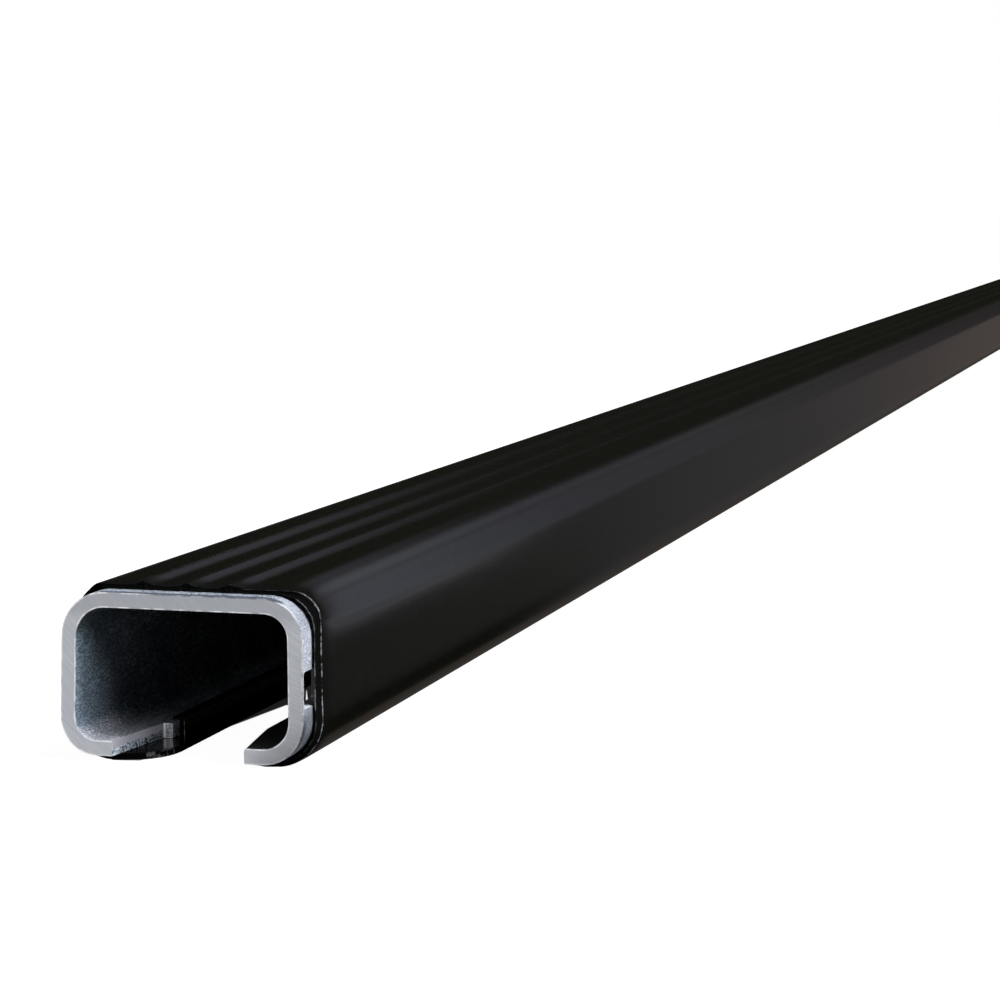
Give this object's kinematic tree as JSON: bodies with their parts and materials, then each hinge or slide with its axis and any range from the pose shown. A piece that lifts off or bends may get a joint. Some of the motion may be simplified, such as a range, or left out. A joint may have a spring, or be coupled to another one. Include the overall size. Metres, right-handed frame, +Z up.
{
  "type": "roof rack crossbar",
  "caption": "Straight load bar of a vehicle's roof rack: a steel channel, open downwards, in a ribbed black plastic jacket with a bead and a flap beside the slot.",
  "frame": {"origin": "under the middle of the bar, at the level of the jacket's underside", "axes": "+X along the bar, +Y across it towards the bead and the flap, +Z up, so the slot faces down"},
  "size_m": [1.5, 0.043, 0.0286],
  "materials": {
    "galvanised_steel": "zinc-coated, with bare sawn ends",
    "black_plastic": "glossy black extrusion"
  },
  "bodies": {
    "root": {"steel_channel": "galvanised_steel", "plastic_jacket": "black_plastic"}
  },
  "joints": []
}
